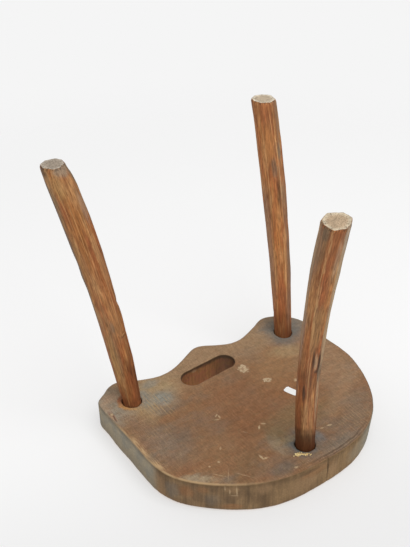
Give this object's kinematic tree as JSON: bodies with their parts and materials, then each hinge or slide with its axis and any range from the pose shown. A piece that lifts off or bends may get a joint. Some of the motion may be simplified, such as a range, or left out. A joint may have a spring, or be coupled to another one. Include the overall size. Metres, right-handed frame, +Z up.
{
  "type": "three-legged stool",
  "caption": "Low stool with one thick scalloped wooden seat plank, a hand slot, and hewn splayed legs joined through it by wedged round tenons.",
  "frame": {"origin": "on the floor under the middle of the whole stool's box, as it stands on its feet", "axes": "+Z up, out of the sitting face; +Y towards the single front leg; -Y towards the hand slot and the scalloped rear edge; +X towards the sitter's right. The picture shows the stool turned over, with -Z up."},
  "size_m": [0.4192, 0.4044, 0.42],
  "materials": {
    "seat_wood": "old sawn plank, dull brown with grey stains, worn edges",
    "leg_wood": "hewn, red-brown, polished by hands along the ridges",
    "wedge_wood": "dark end grain, flush with the seat",
    "paper": "blank matt white paper"
  },
  "bodies": {
    "root": {"seat_board": "seat_wood", "rear_left_leg": "leg_wood", "rear_right_leg": "leg_wood", "front_leg": "leg_wood", "rear_left_wedge": "wedge_wood", "rear_right_wedge": "wedge_wood", "front_wedge": "wedge_wood", "paper_label": "paper"}
  },
  "joints": []
}
